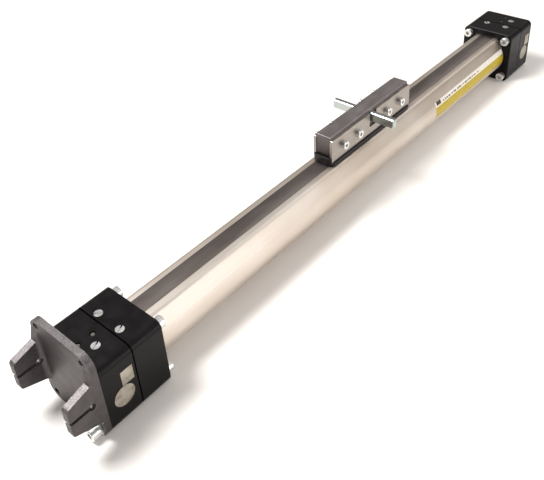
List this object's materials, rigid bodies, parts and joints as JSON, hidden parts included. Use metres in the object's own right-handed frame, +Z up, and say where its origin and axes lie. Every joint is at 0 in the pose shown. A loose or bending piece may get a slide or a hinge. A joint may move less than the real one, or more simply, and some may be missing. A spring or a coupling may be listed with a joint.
{
  "type": "rodless pneumatic cylinder",
  "caption": "Band-type rodless air cylinder: slotted round barrel, square end heads, sliding carriage with a cross bar and a forked bracket on one end.",
  "frame": {"origin": "on the floor plane below the middle of the whole length, midway between the two ends of the cross bar", "axes": "+X along the barrel from the bracket end to the far end, +Y across it, +Z up"},
  "size_m": [0.619, 0.062, 0.0745],
  "materials": {
    "anodised_aluminium": "clear anodised extrusion",
    "black_aluminium": "black anodised, worn edges",
    "dark_aluminium": "dark grey hard anodised",
    "machined_aluminium": "machined",
    "cast_aluminium": "grey casting",
    "band_steel": "rolled stainless strip",
    "zinc_steel": "zinc plated",
    "ball_steel": "ground steel",
    "magnet_rubber": "magnet-filled rubber",
    "seal_rubber": "black nitrile",
    "black_plastic": "black acetal",
    "pale_plastic": "bearing plastic"
  },
  "bodies": {
    "cylinder": {"barrel": "anodised_aluminium", "cover_band": "band_steel", "seal_band": "band_steel", "magnet_strips": "magnet_rubber", "near_inner_block": "black_aluminium", "far_inner_block": "black_aluminium", "near_outer_block": "black_aluminium", "far_outer_block": "black_aluminium", "near_corner_screws": "zinc_steel", "far_corner_screws": "zinc_steel", "near_band_clamp": "zinc_steel", "far_band_clamp": "zinc_steel", "near_clamp_screws": "zinc_steel", "far_clamp_screws": "zinc_steel", "near_channel_plugs": "ball_steel", "far_channel_plugs": "ball_steel", "near_spigot_ring": "seal_rubber", "far_spigot_ring": "seal_rubber", "near_cushion_ring": "seal_rubber", "far_cushion_ring": "seal_rubber", "mounting_bracket": "cast_aluminium", "bracket_screw": "zinc_steel", "bracket_washer": "zinc_steel", "bracket_spring_washer": "zinc_steel"},
    "near_needle": {"near_cushion_needle": "zinc_steel"},
    "far_needle": {"far_cushion_needle": "zinc_steel"},
    "carriage": {"driver": "machined_aluminium", "near_piston": "black_plastic", "far_piston": "black_plastic", "near_piston_pin": "ball_steel", "far_piston_pin": "ball_steel", "near_piston_seal": "seal_rubber", "far_piston_seal": "seal_rubber", "near_wear_ring": "pale_plastic", "far_wear_ring": "pale_plastic", "carriage_yoke": "dark_aluminium", "front_side_plate": "zinc_steel", "back_side_plate": "zinc_steel", "side_screws": "zinc_steel", "side_nuts": "zinc_steel", "cross_bar": "zinc_steel", "wiper_frame": "black_plastic"}
  },
  "joints": [
    {"name": "carriage_slide", "type": "slide", "parent": "cylinder", "child": "carriage", "axis": [1, 0, 0], "range_m": [-0.1873, 0.1627], "deforming": ["cover_band", "seal_band"]},
    {"name": "near_needle_turn", "type": "hinge", "parent": "cylinder", "child": "near_needle", "pos_m": [-0.272, -0.009, 0.027], "axis": [0, 0, 1], "range_deg": [-540, 540]},
    {"name": "far_needle_turn", "type": "hinge", "parent": "cylinder", "child": "far_needle", "pos_m": [0.296, -0.009, 0.027], "axis": [0, 0, 1], "range_deg": [-540, 540]}
  ]
}
